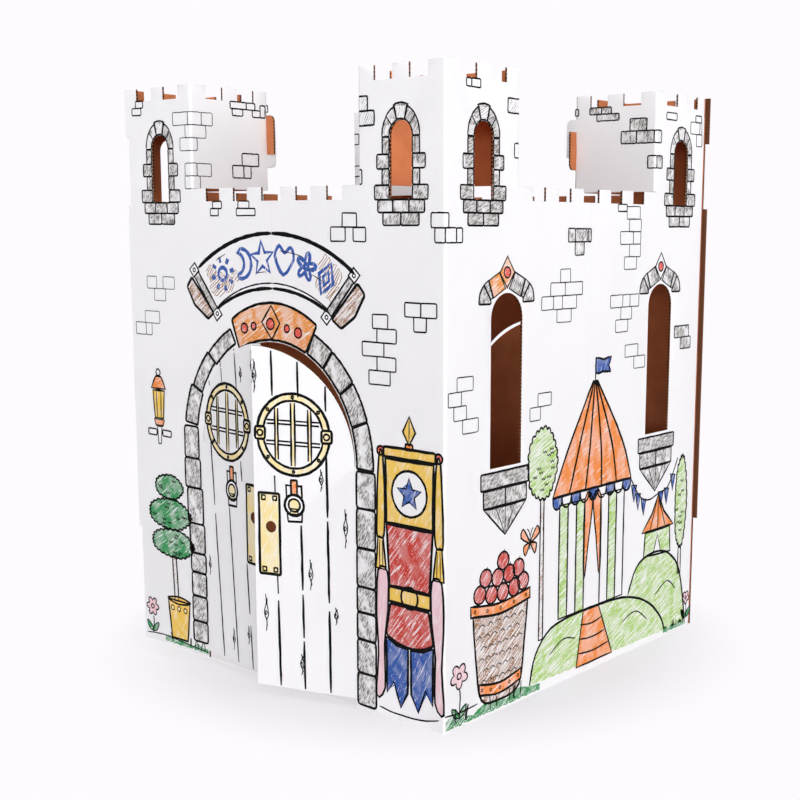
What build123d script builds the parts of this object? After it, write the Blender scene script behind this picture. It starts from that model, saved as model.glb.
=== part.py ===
from build123d import *
import math
import os

# A child's play castle that is folded from two equal die-cut blanks of single-wall corrugated board.
# Each blank makes a door wall, a window wall, the four tower flaps above them and one glue flap.
# X runs along the door wall, Y runs from front to back and Z runs up.
# The origin is at the middle of the plan, on the floor.

# Plan and heights of the castle, in millimetres
WALL_WIDTH = 812.0
WALL_DEPTH = 812.0
PARAPET_HEIGHT = 908.0
TOWER_RISE = 190.0
TOWER_SIDE = 190.0

# The board and how it is cut and creased
BOARD = 4.0
FOLD_RADIUS = 5.0
CUT = 1.0

# Battlements
TOWER_MERLON = 36.0
TOWER_MERLON_COUNT = 3
WALL_NOTCH = 38.0
MIDDLE_NOTCH = 50.0
WALL_MERLON_COUNT = 6
NOTCH_DEPTH = 24.0

# Narrow window in each tower face, with its sill a little below the parapet's top
TOWER_WINDOW_WIDTH = 48.0
TOWER_WINDOW_DROP = 24.0
TOWER_WINDOW_HEIGHT = 125.0

# Tall windows of the window wall, with the board that is left between their crowns and the parapet's top
WINDOW_WIDTH = 86.0
WINDOW_INSET = 160.0
WINDOW_SILL = 435.0
WINDOW_HEAD_BOARD = 177.0

# Arched doorway with two leaves, both a little open, each with a finger hole
DOORWAY_WIDTH = 406.0
DOORWAY_CROWN = 634.0
LEAF_LIFT = 14.0
LEFT_LEAF_ANGLE = 8.0
RIGHT_LEAF_ANGLE = 17.5
FINGER_HOLE = 21.0
FINGER_HOLE_INSET = 34.0
FINGER_HOLE_HEIGHT = 310.0

# Hooked tabs where two tower flaps cross, at half the height of the flaps
HOOK_REACH = 20.0
HOOK_SHORT = 25.0
HOOK_LONG = 50.0
HOOK_ROUND = 12.0
HOOK_CLEARANCE = 0.4

# Seams where the two blanks meet. The door wall's edge stands out past the corner as two lips.
SEAM_LIP = 9.0
WALL_LIP_START = 233.0
WALL_LIP_DROP = 30.0
TOWER_LIP_LENGTH = 90.0
GLUE_FLAP_WIDTH = 40.0
GLUE_FLAP_END = 14.0
GLUE_FLAP_TAPER = 20.0

HALF_WIDTH = WALL_WIDTH / 2
HALF_DEPTH = WALL_DEPTH / 2
TOWER_HEIGHT = PARAPET_HEIGHT + TOWER_RISE
TOWER_WINDOW_SILL = PARAPET_HEIGHT - TOWER_WINDOW_DROP
TOWER_WINDOW_CROWN = TOWER_WINDOW_SILL + TOWER_WINDOW_HEIGHT
WINDOW_CROWN = PARAPET_HEIGHT - WINDOW_HEAD_BOARD
FLAP_BOTTOM = PARAPET_HEIGHT + CUT
HOOK_MIDDLE = (FLAP_BOTTOM + TOWER_HEIGHT) / 2
DOORWAY_RADIUS = DOORWAY_WIDTH / 2
DOORWAY_SPRING = DOORWAY_CROWN - DOORWAY_RADIUS
LEAF_WIDTH = DOORWAY_RADIUS - CUT / 2


def block(left, right, low, high):
    """Rectangle between two distances along a panel and two heights."""
    return Pos((left + right) / 2, (low + high) / 2) * Rectangle(right - left, high - low)


def arched(middle, width, low, crown):
    """Opening with upright sides and a half-round head."""
    radius = width / 2
    spring = crown - radius
    return block(middle - radius, middle + radius, low, spring) + Pos(middle, spring) * Circle(radius)


def tower_notches(left, right):
    """Notches that leave equal merlons from one edge of a tower panel to the other."""
    gaps = TOWER_MERLON_COUNT - 1
    notch = (right - left - TOWER_MERLON_COUNT * TOWER_MERLON) / gaps
    low = TOWER_HEIGHT - NOTCH_DEPTH
    starts = [left + TOWER_MERLON + i * (TOWER_MERLON + notch) for i in range(gaps)]
    return Sketch() + [block(start, start + notch, low, TOWER_HEIGHT) for start in starts]


def parapet_notches(left, right):
    """Notches along a parapet, with a wider one in the middle."""
    gaps = WALL_MERLON_COUNT - 1
    merlon = (right - left - (gaps - 1) * WALL_NOTCH - MIDDLE_NOTCH) / WALL_MERLON_COUNT
    low = PARAPET_HEIGHT - NOTCH_DEPTH
    cuts = Sketch()
    edge = left
    for i in range(gaps):
        start = edge + merlon
        edge = start + (MIDDLE_NOTCH if i == gaps // 2 else WALL_NOTCH)
        cuts += block(start, edge, low, PARAPET_HEIGHT)
    return cuts


def panel(outline, corner, along, outward):
    """Board behind an outline of distance along and height. Its printed face looks outward."""
    face_plane = Plane(origin=corner, x_dir=along, z_dir=Vector(*along).cross(Vector(0, 0, 1)))
    behind = -1 if face_plane.z_dir.dot(Vector(*outward)) > 0 else 1
    return extrude(face_plane * outline, amount=behind * BOARD)


def square_fold(x, y, to_x, to_y, low, high):
    """Crease of a quarter turn whose outer corner is at x, y. The board lies towards to_x and to_y."""
    ring = Circle(FOLD_RADIUS) - Circle(FOLD_RADIUS - BOARD)
    half = FOLD_RADIUS / 2
    quarter = ring & Pos(-to_x * half, -to_y * half) * Rectangle(FOLD_RADIUS, FOLD_RADIUS)
    return extrude(Pos(x + to_x * FOLD_RADIUS, y + to_y * FOLD_RADIUS, low) * quarter, amount=high - low)


def door_wall():
    """Front panel with doorway, two half towers, parapet and the lips of the seam at its left edge."""
    right_tower = WALL_WIDTH - TOWER_SIDE
    fold_end = WALL_WIDTH - FOLD_RADIUS
    outline = block(0, fold_end, 0, PARAPET_HEIGHT)
    outline += block(0, TOWER_SIDE - FOLD_RADIUS, PARAPET_HEIGHT, TOWER_HEIGHT)
    outline += block(right_tower + FOLD_RADIUS, fold_end, PARAPET_HEIGHT, TOWER_HEIGHT)
    outline += block(-SEAM_LIP, 0, WALL_LIP_START, PARAPET_HEIGHT - WALL_LIP_DROP)
    outline += block(-SEAM_LIP, 0, TOWER_HEIGHT - TOWER_LIP_LENGTH, TOWER_HEIGHT)
    outline -= tower_notches(-SEAM_LIP, TOWER_SIDE)
    outline -= tower_notches(right_tower, WALL_WIDTH)
    outline -= parapet_notches(TOWER_SIDE, right_tower)
    for middle in (TOWER_SIDE / 2, WALL_WIDTH - TOWER_SIDE / 2):
        outline -= arched(middle, TOWER_WINDOW_WIDTH, TOWER_WINDOW_SILL, TOWER_WINDOW_CROWN)
    outline -= arched(HALF_WIDTH, DOORWAY_WIDTH, 0, DOORWAY_CROWN)
    return panel(outline, (-HALF_WIDTH, -HALF_DEPTH, 0), (1, 0, 0), (0, -1, 0))


def window_wall():
    """Side panel with two tall windows, from the corner crease to the crease of its glue flap."""
    glued_face = WALL_DEPTH - BOARD
    far_tower = WALL_DEPTH - TOWER_SIDE
    fold_end = glued_face - FOLD_RADIUS
    outline = block(FOLD_RADIUS, fold_end, 0, PARAPET_HEIGHT)
    outline += block(FOLD_RADIUS, TOWER_SIDE - FOLD_RADIUS, PARAPET_HEIGHT, TOWER_HEIGHT)
    outline += block(far_tower + FOLD_RADIUS, fold_end, PARAPET_HEIGHT, TOWER_HEIGHT)
    outline -= tower_notches(0, TOWER_SIDE)
    outline -= tower_notches(far_tower, WALL_DEPTH)
    outline -= parapet_notches(TOWER_SIDE, far_tower)
    for middle in (TOWER_SIDE / 2, WALL_DEPTH - TOWER_SIDE / 2):
        outline -= arched(middle, TOWER_WINDOW_WIDTH, TOWER_WINDOW_SILL, TOWER_WINDOW_CROWN)
    for middle in (WINDOW_INSET, WALL_DEPTH - WINDOW_INSET):
        outline -= arched(middle, WINDOW_WIDTH, WINDOW_SILL, WINDOW_CROWN)
    return panel(outline, (HALF_WIDTH, -HALF_DEPTH, 0), (0, 1, 0), (1, 0, 0))


def tower_flap(slot_opens_down):
    """Outline of a tower flap from its crease to its hooked tab.

    The two flaps of a tower cross at the tab. One has its slot open at the bottom, the other at the top.
    """
    slot_start = TOWER_SIDE - BOARD - HOOK_CLEARANCE
    slot_end = TOWER_SIDE + HOOK_CLEARANCE
    tip = TOWER_SIDE + HOOK_REACH
    low = HOOK_MIDDLE - (HOOK_SHORT if slot_opens_down else HOOK_LONG)
    high = HOOK_MIDDLE + (HOOK_LONG if slot_opens_down else HOOK_SHORT)
    tab = block(slot_start, tip, low, high)
    tip_corners = tab.vertices().group_by(Axis.X)[-1].sort_by(Axis.Y)
    tab = fillet(tip_corners[-1 if slot_opens_down else 0], HOOK_ROUND)
    outline = block(FOLD_RADIUS, slot_start, FLAP_BOTTOM, TOWER_HEIGHT) - tower_notches(0, TOWER_SIDE)
    outline += tab
    if slot_opens_down:
        return outline - block(slot_start, slot_end, low, HOOK_MIDDLE + HOOK_CLEARANCE)
    return outline - block(slot_start, slot_end, HOOK_MIDDLE - HOOK_CLEARANCE, high)


def tower_flaps():
    """The four flaps of one blank with the creases that carry them."""
    left = -HALF_WIDTH + TOWER_SIDE
    right = HALF_WIDTH - TOWER_SIDE
    near = -HALF_DEPTH + TOWER_SIDE
    far = HALF_DEPTH - TOWER_SIDE
    high_slot = tower_flap(slot_opens_down=False)
    low_slot = tower_flap(slot_opens_down=True)
    return [
        panel(high_slot, (left, -HALF_DEPTH, 0), (0, 1, 0), (1, 0, 0)),
        square_fold(left, -HALF_DEPTH, -1, 1, FLAP_BOTTOM, TOWER_HEIGHT),
        panel(high_slot, (right, -HALF_DEPTH, 0), (0, 1, 0), (-1, 0, 0)),
        square_fold(right, -HALF_DEPTH, 1, 1, FLAP_BOTTOM, TOWER_HEIGHT),
        panel(low_slot, (HALF_WIDTH, near, 0), (-1, 0, 0), (0, 1, 0)),
        square_fold(HALF_WIDTH, near, -1, -1, FLAP_BOTTOM, TOWER_HEIGHT),
        panel(low_slot, (HALF_WIDTH, far, 0), (-1, 0, 0), (0, -1, 0)),
        square_fold(HALF_WIDTH, far, -1, 1, FLAP_BOTTOM, TOWER_HEIGHT),
    ]


def glue_flap():
    """Flap that lies against the inside of the other blank's door wall."""
    glued_face = HALF_DEPTH - BOARD
    top = TOWER_HEIGHT - NOTCH_DEPTH - GLUE_FLAP_END
    outline = make_face(Polyline(
        (FOLD_RADIUS, GLUE_FLAP_END),
        (GLUE_FLAP_WIDTH, GLUE_FLAP_END + GLUE_FLAP_TAPER),
        (GLUE_FLAP_WIDTH, top - GLUE_FLAP_TAPER),
        (FOLD_RADIUS, top),
        close=True,
    ))
    flap = panel(outline, (HALF_WIDTH, glued_face, 0), (-1, 0, 0), (0, 1, 0))
    return [flap, square_fold(HALF_WIDTH, glued_face, -1, -1, GLUE_FLAP_END, top)]


def door_leaf(hinge_x, towards, angle):
    """Leaf cut out of the door wall and swung outwards on its crease, with the stretched crease itself."""
    arch = Pos(DOORWAY_RADIUS, DOORWAY_SPRING) * Circle(DOORWAY_RADIUS - CUT)
    head = arch & block(0, LEAF_WIDTH, DOORWAY_SPRING, DOORWAY_CROWN)
    outline = block(0, LEAF_WIDTH, LEAF_LIFT, DOORWAY_SPRING) + head
    outline -= Pos(DOORWAY_RADIUS - FINGER_HOLE_INSET, FINGER_HOLE_HEIGHT) * Circle(FINGER_HOLE / 2)
    swing = math.radians(angle)
    along = (towards * math.cos(swing), -math.sin(swing), 0)
    outward = (-towards * math.sin(swing), -math.cos(swing), 0)
    leaf = panel(outline, (hinge_x, -HALF_DEPTH, 0), along, outward)
    inner_edge = (hinge_x - outward[0] * BOARD, -HALF_DEPTH - outward[1] * BOARD)
    wedge = make_face(Polyline(
        (hinge_x, -HALF_DEPTH),
        (hinge_x, -HALF_DEPTH + BOARD),
        inner_edge,
        close=True,
    ))
    return [leaf, extrude(Pos(0, 0, LEAF_LIFT) * wedge, amount=DOORWAY_SPRING - LEAF_LIFT)]


def folded_blank():
    """One blank as it stands: door wall in front, window wall on the right."""
    pieces = [square_fold(HALF_WIDTH, -HALF_DEPTH, -1, 1, 0, TOWER_HEIGHT), window_wall()]
    pieces += tower_flaps()
    pieces += glue_flap()
    pieces += door_leaf(-DOORWAY_RADIUS, 1, LEFT_LEAF_ANGLE)
    pieces += door_leaf(DOORWAY_RADIUS, -1, RIGHT_LEAF_ANGLE)
    return door_wall().fuse(*pieces).clean()


os.makedirs("parts", exist_ok=True)

front_blank = folded_blank()
rear_blank = front_blank.rotate(Axis.Z, 180)

export_step(front_blank, "parts/front_folded_sheet.step")
export_step(rear_blank, "parts/rear_folded_sheet.step")
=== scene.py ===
"""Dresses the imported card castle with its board, its printed drawing, its crayon colours and a studio."""
import math
import random

import bpy
from bpy.props import FloatProperty, FloatVectorProperty, PointerProperty
from mathutils import Matrix, Vector


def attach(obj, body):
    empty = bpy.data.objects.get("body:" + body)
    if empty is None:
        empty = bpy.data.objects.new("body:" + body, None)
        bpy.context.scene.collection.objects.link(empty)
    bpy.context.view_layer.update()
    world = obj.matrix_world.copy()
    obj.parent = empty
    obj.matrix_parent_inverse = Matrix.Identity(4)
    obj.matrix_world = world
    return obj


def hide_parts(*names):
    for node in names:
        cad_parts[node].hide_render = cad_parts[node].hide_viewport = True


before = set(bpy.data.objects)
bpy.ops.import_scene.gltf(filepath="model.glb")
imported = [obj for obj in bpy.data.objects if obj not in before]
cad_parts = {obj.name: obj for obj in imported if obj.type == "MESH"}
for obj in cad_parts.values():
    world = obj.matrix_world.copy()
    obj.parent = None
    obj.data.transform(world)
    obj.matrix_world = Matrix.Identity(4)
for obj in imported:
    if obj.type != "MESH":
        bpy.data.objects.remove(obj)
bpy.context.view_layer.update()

bl_info = {
    "name": "Card castle",
    "version": (1, 0, 0),
    "blender": (4, 5, 0),
    "location": "View3D > Sidebar > Castle",
    "description": "Board, printed drawing, crayon colours and studio of a child's card castle",
    "category": "Object",
}

# One millimetre in the scene's metres; the lengths below are in millimetres and the angles in degrees
MM = 0.001
BOARD = 4.0
FOLD_RADIUS = 5.0
WALL = 812.0
TOWER = 190.0
WINDOW_MIDDLE = 95.0
DOOR_MIDDLE = WALL / 2
ARCH_CENTRE = (DOOR_MIDDLE, 431.0)
ARCH_RADIUS = 203.0
LEAF_WIDTH = 202.5
CREASE = 1.4
PEN_SPAN = 18.0
PEN_SPAN_ON_FOLD = 3.0
LAYER = 0.07
INK_THICK, INK_LIFT = 0.2, 0.12
PATCH_THICK, PATCH_LIFT = 0.14, -0.04
STROKE_THICK, STROKE_LIFT = 0.02, 0.065
WELD = 0.004
WALLS_FULL, WALLS_END = 6.0, 24.0

# Styles of brick: finish, width of the pen and height of a course
PLAIN = (None, 2.3, 23.5)
THIN = (None, 1.7, 23.5)
FINE = (None, 1.4, 23.5)
SMALL = (None, 2.3, 13.0)
SHADED = ("stone", 2.3, 23.5)
SHADED_BOLD = ("stone", 2.6, 23.5)
SHADED_SMALL = ("stone", 2.3, 13.0)

# Panels that carry print: corner x and y in millimetres, and the heading of the direction along them
PANELS = {
    "door_wall": (-406.0, -406.0, 0.0),
    "window_wall": (406.0, -406.0, 90.0),
    "right_tower_flap": (216.0, 216.0, 0.0),
    "near_tower_flap": (216.0, -216.0, -90.0),
    "left_leaf": (-203.0, -406.0, -8.0),
    "right_leaf": (9.88, -466.89, 17.5),
}


def linear(code):
    """Linear red, green and blue of an sRGB hex colour."""
    parts = [int(code[i:i + 2], 16) / 255 for i in (1, 3, 5)]
    return tuple(p / 12.92 if p <= 0.04045 else ((p + 0.055) / 1.055) ** 2.4 for p in parts)


def colour(label, words, code):
    """A colour that a user can change, given as sRGB hex."""
    return FloatVectorProperty(name=label, description=words, subtype="COLOR", size=3, min=0.0, max=1.0,
                               default=linear(code))


class CASTLE_PG_board(bpy.types.PropertyGroup):
    """Finish of the corrugated board."""
    liner: colour("White liner", "Clay-coated outer liner", "#f4f2f5")
    kraft: colour("Kraft liner", "Brown liner on the inside", "#cd7d52")
    cut_edge: colour("Cut edge", "Fluting that shows along a cut", "#94603f")
    # Painted shade of the hollows between the flutes
    flute_shade: colour("Flute shade", "Dark hollows between the flutes", "#2a140c")
    flute_pitch: FloatProperty(name="Flute pitch", description="Distance from one flute to the next",
                               default=6.5 * MM, subtype="DISTANCE", unit="LENGTH")


class CASTLE_PG_drawing(bpy.types.PropertyGroup):
    """Printed lines and the colours that a child put between them."""
    ink: colour("Ink", "Black printing ink", "#0b0a0b")
    graphite: colour("Graphite", "Soft pencil shading of the stones", "#857f7b")
    orange: colour("Orange", "Orange crayon", "#f08a3c")
    amber: colour("Amber", "Brown-orange crayon of the door's keystone", "#e8923f")
    yellow: colour("Yellow", "Golden yellow crayon", "#f0c658")
    straw: colour("Straw", "Pale yellow crayon of the door fittings", "#f2dc9a")
    ochre: colour("Ochre", "Darker streaks on the handle plates", "#c4933f")
    red: colour("Red", "Red crayon", "#c93c30")
    gem: colour("Gem", "Red crayon of the gems", "#e0564a")
    pink: colour("Pink", "Pale pink crayon", "#f0c9d2")
    blue: colour("Blue", "Blue crayon", "#2f57a8")
    leaf_green: colour("Leaf green", "Deep green crayon", "#2f9152")
    lime: colour("Lime", "Light green crayon", "#a3cb57")
    brown: colour("Brown", "Brown crayon", "#a87e60")
    bark: colour("Bark", "Dark brown crayon of the basket", "#9c6a42")
    wobble: FloatProperty(name="Wobble", description="How far a pen stroke strays from its true place",
                          default=0.35 * MM, subtype="DISTANCE", unit="LENGTH")


class CASTLE_PG_stage(bpy.types.PropertyGroup):
    """Floor, light and camera."""
    floor: colour("Floor", "Pale studio floor", "#f2f2f6")
    backdrop: colour("Backdrop", "White of the backdrop, as the camera sees it", "#fefbff")
    # Painted shade: the floor inside the walls is dark brown so that the room behind the windows stays dim
    mat: colour("Mat", "Brown mat inside the castle", "#7a3d1e")
    right_wall: FloatProperty(
        name="Right wall", description="Strength of the pale studio wall on the right", default=5.1, min=0.0)
    front_wall: FloatProperty(
        name="Front wall", description="Strength of the pale studio wall in front", default=4.0, min=0.0)
    ceiling: FloatProperty(
        name="Ceiling", description="Strength of the dim light from above", default=0.01, min=0.0)
    rear: FloatProperty(
        name="Rear lights", description="Strength of the two low soft lights behind the castle", default=0.9)
    tower_spot: FloatProperty(
        name="Tower spot", description="Power of the spot that shines down into the near tower",
        default=174.0, subtype="POWER", unit="POWER")
    hole_spot: FloatProperty(
        name="Hole spot", description="Power of the spot on the kraft behind the finger holes",
        default=1.3, subtype="POWER", unit="POWER")
    lens: FloatProperty(name="Lens", description="Focal length of the camera", default=58.0452)


# Materials

def add(tree, kind, settings=None, inputs=None):
    """Adds a node, sets its properties, and sets or links its inputs."""
    made = tree.nodes.new(kind)
    for key, value in (settings or {}).items():
        setattr(made, key, value)
    for key, value in (inputs or {}).items():
        if isinstance(value, bpy.types.NodeSocket):
            tree.links.new(value, made.inputs[key])
        else:
            made.inputs[key].default_value = value
    return made


def rgba(shade):
    """A linear colour with full cover."""
    return (*shade, 1.0)


def start_material(name):
    """An empty node tree with a Principled shader at its end."""
    material = bpy.data.materials.new(name)
    material.use_nodes = True
    tree = material.node_tree
    tree.nodes.clear()
    shader = add(tree, "ShaderNodeBsdfPrincipled")
    add(tree, "ShaderNodeOutputMaterial", inputs={"Surface": shader.outputs["BSDF"]})
    return material, tree, shader


def object_place(tree):
    """Place on the object, in metres, and its parts by axis."""
    spot = add(tree, "ShaderNodeTexCoord").outputs["Object"]
    return spot, add(tree, "ShaderNodeSeparateXYZ", inputs={0: spot}).outputs


def panel_place(tree):
    """Place along a wall and up it, in metres, which reads the same on a door wall and a window wall."""
    spot = add(tree, "ShaderNodeTexCoord").outputs["Object"]
    along = add(tree, "ShaderNodeVectorMath", {"operation": "DOT_PRODUCT"}, {0: spot, 1: (1.0, 1.0, 0.0)})
    up = add(tree, "ShaderNodeVectorMath", {"operation": "DOT_PRODUCT"}, {0: spot, 1: (0.0, 0.0, 1.0)})
    return add(tree, "ShaderNodeCombineXYZ",
               inputs={0: along.outputs["Value"], 1: up.outputs["Value"]}).outputs["Vector"]


def streaks(tree, place, angle, length, width, detail=2.0):
    """Noise drawn out along one direction: streaks of a given length and width, in millimetres."""
    turned = add(tree, "ShaderNodeMapping",
                 inputs={"Vector": place, "Rotation": (0.0, 0.0, math.radians(-angle))})
    stretched = add(tree, "ShaderNodeMapping", inputs={
        "Vector": turned.outputs["Vector"], "Scale": (1.0 / (length * MM), 1.0 / (width * MM), 1.0)})
    grain = add(tree, "ShaderNodeTexNoise", {"noise_dimensions": "2D"}, {
        "Vector": stretched.outputs["Vector"], "Scale": 1.0, "Detail": detail, "Roughness": 0.6})
    return grain.outputs["Fac"]


def ramp(tree, value, low, high):
    """A value stretched so that low becomes 0 and high becomes 1."""
    return add(tree, "ShaderNodeMapRange", {"clamp": True},
               {"Value": value, "From Min": low, "From Max": high}).outputs["Result"]


def eased(tree, value, low, high, first, last):
    """A value turned from its range to another one, with soft ends."""
    return add(tree, "ShaderNodeMapRange", {"interpolation_type": "SMOOTHSTEP"}, {
        "Value": value, "From Min": low, "From Max": high, "To Min": first, "To Max": last}).outputs["Result"]


def mixed(tree, share, first, second):
    """One colour laid over another by share. Colours are linear triples or sockets."""
    made = add(tree, "ShaderNodeMix", {"data_type": "RGBA"}, {0: share})
    for slot, value in ((6, first), (7, second)):
        if isinstance(value, bpy.types.NodeSocket):
            tree.links.new(value, made.inputs[slot])
        else:
            made.inputs[slot].default_value = rgba(value)
    return made.outputs[2]


def maths(tree, operation, *values):
    """The result of a Math node."""
    return add(tree, "ShaderNodeMath", {"operation": operation}, dict(enumerate(values))).outputs["Value"]


def flutes(tree, up):
    """A wave up the board whose crests are the flutes."""
    pitch = bpy.context.scene.castle_board.flute_pitch
    return maths(tree, "SINE", maths(tree, "MULTIPLY", up, 2 * math.pi / pitch))


def dimmed(shade, factor):
    """A darker or paler colour of the same hue."""
    return tuple(part * factor for part in shade)


def blended(first, second, share):
    """A colour between two others."""
    return tuple(a * (1 - share) + b * share for a, b in zip(first, second))


def noise(tree, place, grain, detail):
    """Plain noise whose grain is given in millimetres."""
    return add(tree, "ShaderNodeTexNoise",
               inputs={"Vector": place, "Scale": 1.0 / (grain * MM), "Detail": detail}).outputs["Fac"]


def bump(tree, height, strength, distance, before=None):
    """Relief of a height value, with its distance in millimetres, over the relief before it."""
    inputs = {"Height": height, "Strength": strength, "Distance": distance * MM}
    if before is not None:
        inputs["Normal"] = before
    return add(tree, "ShaderNodeBump", inputs=inputs).outputs["Normal"]


def finished(material, tree, shader, tone, roughness, specular, relief=None):
    """Sets the shader's colour, roughness, sheen and relief, and gives the material back."""
    tree.links.new(tone, shader.inputs["Base Color"])
    if relief is not None:
        tree.links.new(relief, shader.inputs["Normal"])
    shader.inputs["Roughness"].default_value = roughness
    shader.inputs["Specular IOR Level"].default_value = specular
    return material


def white_liner():
    """Clay-coated white liner: a bright, even, slightly satin paper with faint washboard from the flutes.

    A shallow crease runs up the middle of each wall, where the flat blank was folded for its carton; the
    liner along it is darkened with painted shade.
    """
    board = bpy.context.scene.castle_board
    material, tree, shader = start_material("clay_coated_white_liner")
    spot, place = object_place(tree)
    cloud = ramp(tree, noise(tree, spot, 90.0, 3.0), 0.35, 0.65)
    tone = mixed(tree, cloud, tuple(board.liner), dimmed(board.liner, 0.985))
    relief = bump(tree, flutes(tree, place["Z"]), 0.05, 0.05)
    relief = bump(tree, noise(tree, spot, 1.5, 2.0), 0.06, 0.05, relief)
    sides = [maths(tree, "ABSOLUTE", place[axis]) for axis in "XY"]
    level = ramp(tree, maths(tree, "MINIMUM", *sides), 0.0, CREASE * MM)
    relief = bump(tree, level, 0.5, 0.5, relief)
    # Painted shade along the crease: the liner is darker there
    tone = mixed(tree, level, dimmed(board.liner, 0.93), tone)
    return finished(material, tree, shader, tone, 0.62, 0.3, relief)


def kraft_liner():
    """Unbleached kraft liner: warm brown paper with darker flecks and faint lines along the flutes.

    Beside the corner the seam's lips are darkened into a thin dark line, painted shade of the narrow gap
    there.
    """
    board = bpy.context.scene.castle_board
    material, tree, shader = start_material("unbleached_kraft_liner")
    spot, place = object_place(tree)
    deep = tuple(c * s for c, s in zip(board.kraft, (0.82, 0.78, 0.74)))
    tone = mixed(tree, ramp(tree, noise(tree, spot, 45.0, 4.0), 0.3, 0.7), tuple(board.kraft), deep)
    fleck = ramp(tree, noise(tree, spot, 2.5, 3.0), 0.62, 0.8)
    tone = mixed(tree, fleck, tone, dimmed(board.kraft, 0.6))
    # Painted shade: the kraft is darkened into a thin line at the seam's lips by the corner
    seam_lip_shade = ramp(tree, maths(tree, "ABSOLUTE", place["X"]), (WALL / 2 - 0.4) * MM, WALL / 2 * MM)
    tone = mixed(tree, seam_lip_shade, tone, dimmed(board.kraft, 0.16))
    relief = bump(tree, flutes(tree, place["Z"]), 0.12, 0.1)
    return finished(material, tree, shader, tone, 0.85, 0.2, relief)


def fluted_edge():
    """Raw die-cut edge: dark hollows between the flutes on an upright cut, whose darkness is painted shade,
    and one brown line on a level cut.
    """
    board = bpy.context.scene.castle_board
    material, tree, shader = start_material("raw_fluted_cut_edge")
    wave = flutes(tree, object_place(tree)[1]["Z"])
    facing = add(tree, "ShaderNodeNewGeometry").outputs["Normal"]
    level = maths(tree, "ABSOLUTE", add(tree, "ShaderNodeSeparateXYZ", inputs={0: facing}).outputs["Z"])
    hollow, flat_cut = ramp(tree, wave, -0.1, 0.5), ramp(tree, level, 0.6, 0.9)
    share = add(tree, "ShaderNodeMix", {"data_type": "FLOAT"}, {0: flat_cut, 2: hollow, 3: 0.55}).outputs[0]
    # The flute shade is painted shade in the hollows between the flutes
    tone = mixed(tree, share, tuple(board.cut_edge), tuple(board.flute_shade))
    return finished(material, tree, shader, tone, 0.9, 0.15)


def printing_ink():
    """Black water-based printing ink on coated paper: nearly black, matt, a little thinner in places."""
    drawing = bpy.context.scene.castle_drawing
    material, tree, shader = start_material("black_flexographic_ink")
    spot = add(tree, "ShaderNodeTexCoord").outputs["Object"]
    thin = tuple(c * 1.8 + 0.002 for c in drawing.ink)
    tone = mixed(tree, ramp(tree, noise(tree, spot, 6.0, 3.0), 0.45, 0.75), tuple(drawing.ink), thin)
    return finished(material, tree, shader, tone, 0.7, 0.1)


def wax_crayon(name, wax, angle, cover, pale):
    """Wax crayon rubbed over coated paper: streaks along the stroke, specks of bare paper, a waxy sheen."""
    paper = tuple(bpy.context.scene.castle_board.liner)
    material, tree, shader = start_material(f"wax_crayon_{name}")
    place = panel_place(tree)
    stroke = streaks(tree, place, angle, 40.0, 3.6)
    press = streaks(tree, place, angle + 70.0, 55.0, 26.0, 1.0)
    tooth = streaks(tree, place, angle, 3.4, 2.2)
    bare = 0.5 - 0.36 * (cover - 0.5)
    laid = ramp(tree, stroke, bare - 0.06, bare + 0.04)
    rubbed = maths(tree, "MULTIPLY", laid, ramp(tree, tooth, bare - 0.13, bare - 0.03))
    pressed = mixed(tree, ramp(tree, press, 0.38, 0.58), blended(wax, paper, pale), wax)
    ground = mixed(tree, min(1.0, cover * 0.8), paper, blended(wax, paper, 0.7))
    tone = mixed(tree, rubbed, ground, pressed)
    return finished(material, tree, shader, tone, 0.5, 0.35, bump(tree, rubbed, 0.15, 0.08))


def pencil_shading(name, angle, weight):
    """Soft pencil over coated paper: grey strokes and smears with white gaps, matt."""
    graphite = tuple(bpy.context.scene.castle_drawing.graphite)
    paper = tuple(bpy.context.scene.castle_board.liner)
    material, tree, shader = start_material(f"soft_pencil_{name}")
    place = panel_place(tree)
    drawn = ramp(tree, streaks(tree, place, angle, 12.0, 2.8, 3.0), 0.46, 0.55)
    patchy = streaks(tree, place, angle + 60.0, 34.0, 22.0)
    where = ramp(tree, patchy, 0.62 - 0.34 * weight, 0.74 - 0.3 * weight)
    smear = ramp(tree, patchy, 0.6 - 0.5 * weight, 1.1 - 0.6 * weight)
    ground = mixed(tree, smear, paper, blended(graphite, paper, 0.65))
    tone = mixed(tree, maths(tree, "MULTIPLY", drawn, where), ground, graphite)
    return finished(material, tree, shader, tone, 0.6, 0.3)


# For each crayon and pencil: direction of the strokes in degrees, how much paper the ground covers, how pale
# the light strokes are, the gap between drawn strokes, their width, and how many times they cross
CRAYONS = {
    "orange": (24.0, 0.90, 0.25, 7.0, 3.0, 1), "amber": (28.0, 0.78, 0.36, 5.4, 2.4, 1),
    "yellow": (70.0, 0.96, 0.22, 8.0, 4.0, 1), "straw": (64.0, 0.80, 0.25, 0.0, 0.0, 0),
    "ochre": (58.0, 0.60, 0.30, 5.0, 2.4, 2),
    "red": (52.0, 0.80, 0.15, 4.6, 2.6, 2), "gem": (30.0, 0.92, 0.10, 0.0, 0.0, 0),
    "pink": (78.0, 0.98, 0.30, 9.0, 4.5, 1), "blue": (64.0, 0.90, 0.18, 5.6, 3.4, 1),
    "leaf_green": (35.0, 0.82, 0.25, 4.2, 2.6, 2), "lime": (24.0, 0.60, 0.35, 6.4, 3.0, 1),
    "brown": (48.0, 0.34, 0.45, 5.2, 2.1, 1), "bark": (38.0, 0.55, 0.35, 4.4, 2.2, 2),
}
PENCILS = {
    "stone": (62.0, 0.75, 0.0, 4.6, 1.2, 1), "dark_stone": (24.0, 1.0, 0.0, 3.4, 1.4, 1),
    "bracket": (50.0, 1.0, 0.0, 3.0, 1.4, 1),
}
STROKES = {**CRAYONS, **PENCILS}


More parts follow.
